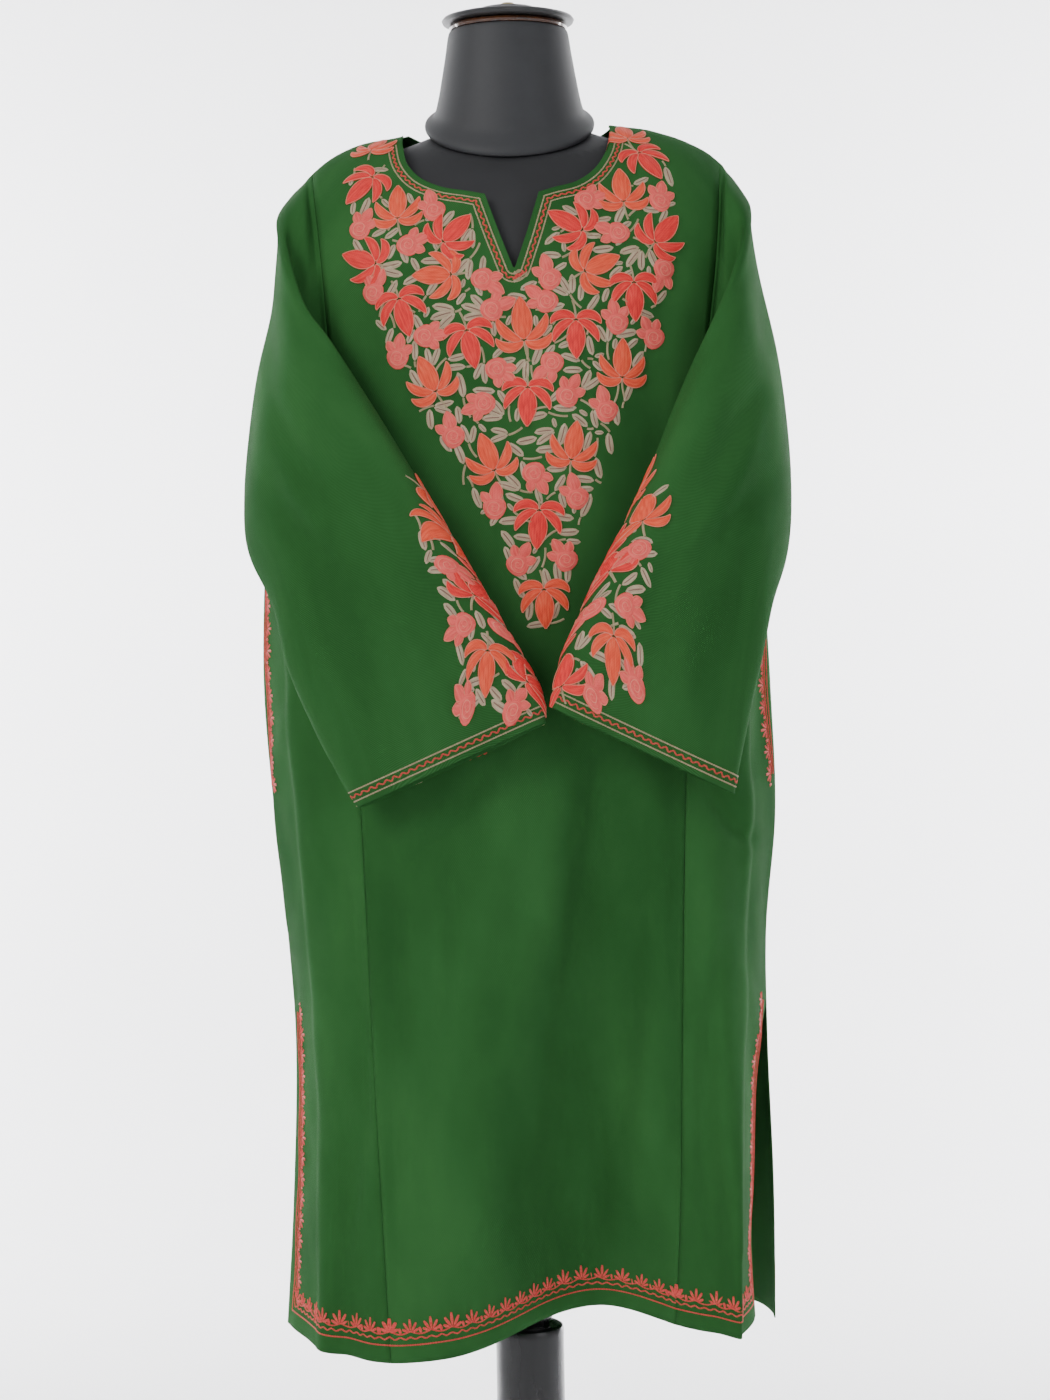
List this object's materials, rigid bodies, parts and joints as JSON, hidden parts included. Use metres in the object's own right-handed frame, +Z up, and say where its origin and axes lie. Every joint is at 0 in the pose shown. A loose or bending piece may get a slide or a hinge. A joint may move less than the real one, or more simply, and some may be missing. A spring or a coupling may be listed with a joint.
{
  "type": "embroidered pheran on a limbless dress form",
  "caption": "Long loose wool pheran with embroidered yoke, sleeves and borders, worn on a limbless dress form with a neck cap and a round stand.",
  "frame": {"origin": "on the floor, at the centre of the stand's base, under the post", "axes": "+Z up along the post, -Y towards the garment's front, +X towards the viewer's right, which is the wearer's left"},
  "size_m": [0.4614, 0.41, 1.5694],
  "materials": {
    "cloth": "green wool twill with coral, pink and taupe chain-stitch embroidery",
    "form": "smooth charcoal form covering",
    "wood": "dark varnished turned ring",
    "brass": "small polished knob",
    "post": "satin black post and foot"
  },
  "bodies": {
    "root": {"front_panel": "cloth", "front_gore_right": "cloth", "front_gore_left": "cloth", "back_panel": "cloth", "sleeve_right": "cloth", "sleeve_left": "cloth", "form_torso": "form", "form_neck": "form", "form_cap": "form", "neck_ring": "wood", "cap_knob": "brass", "post_upper": "post", "post_outer": "post", "stand_base": "post"}
  },
  "joints": []
}
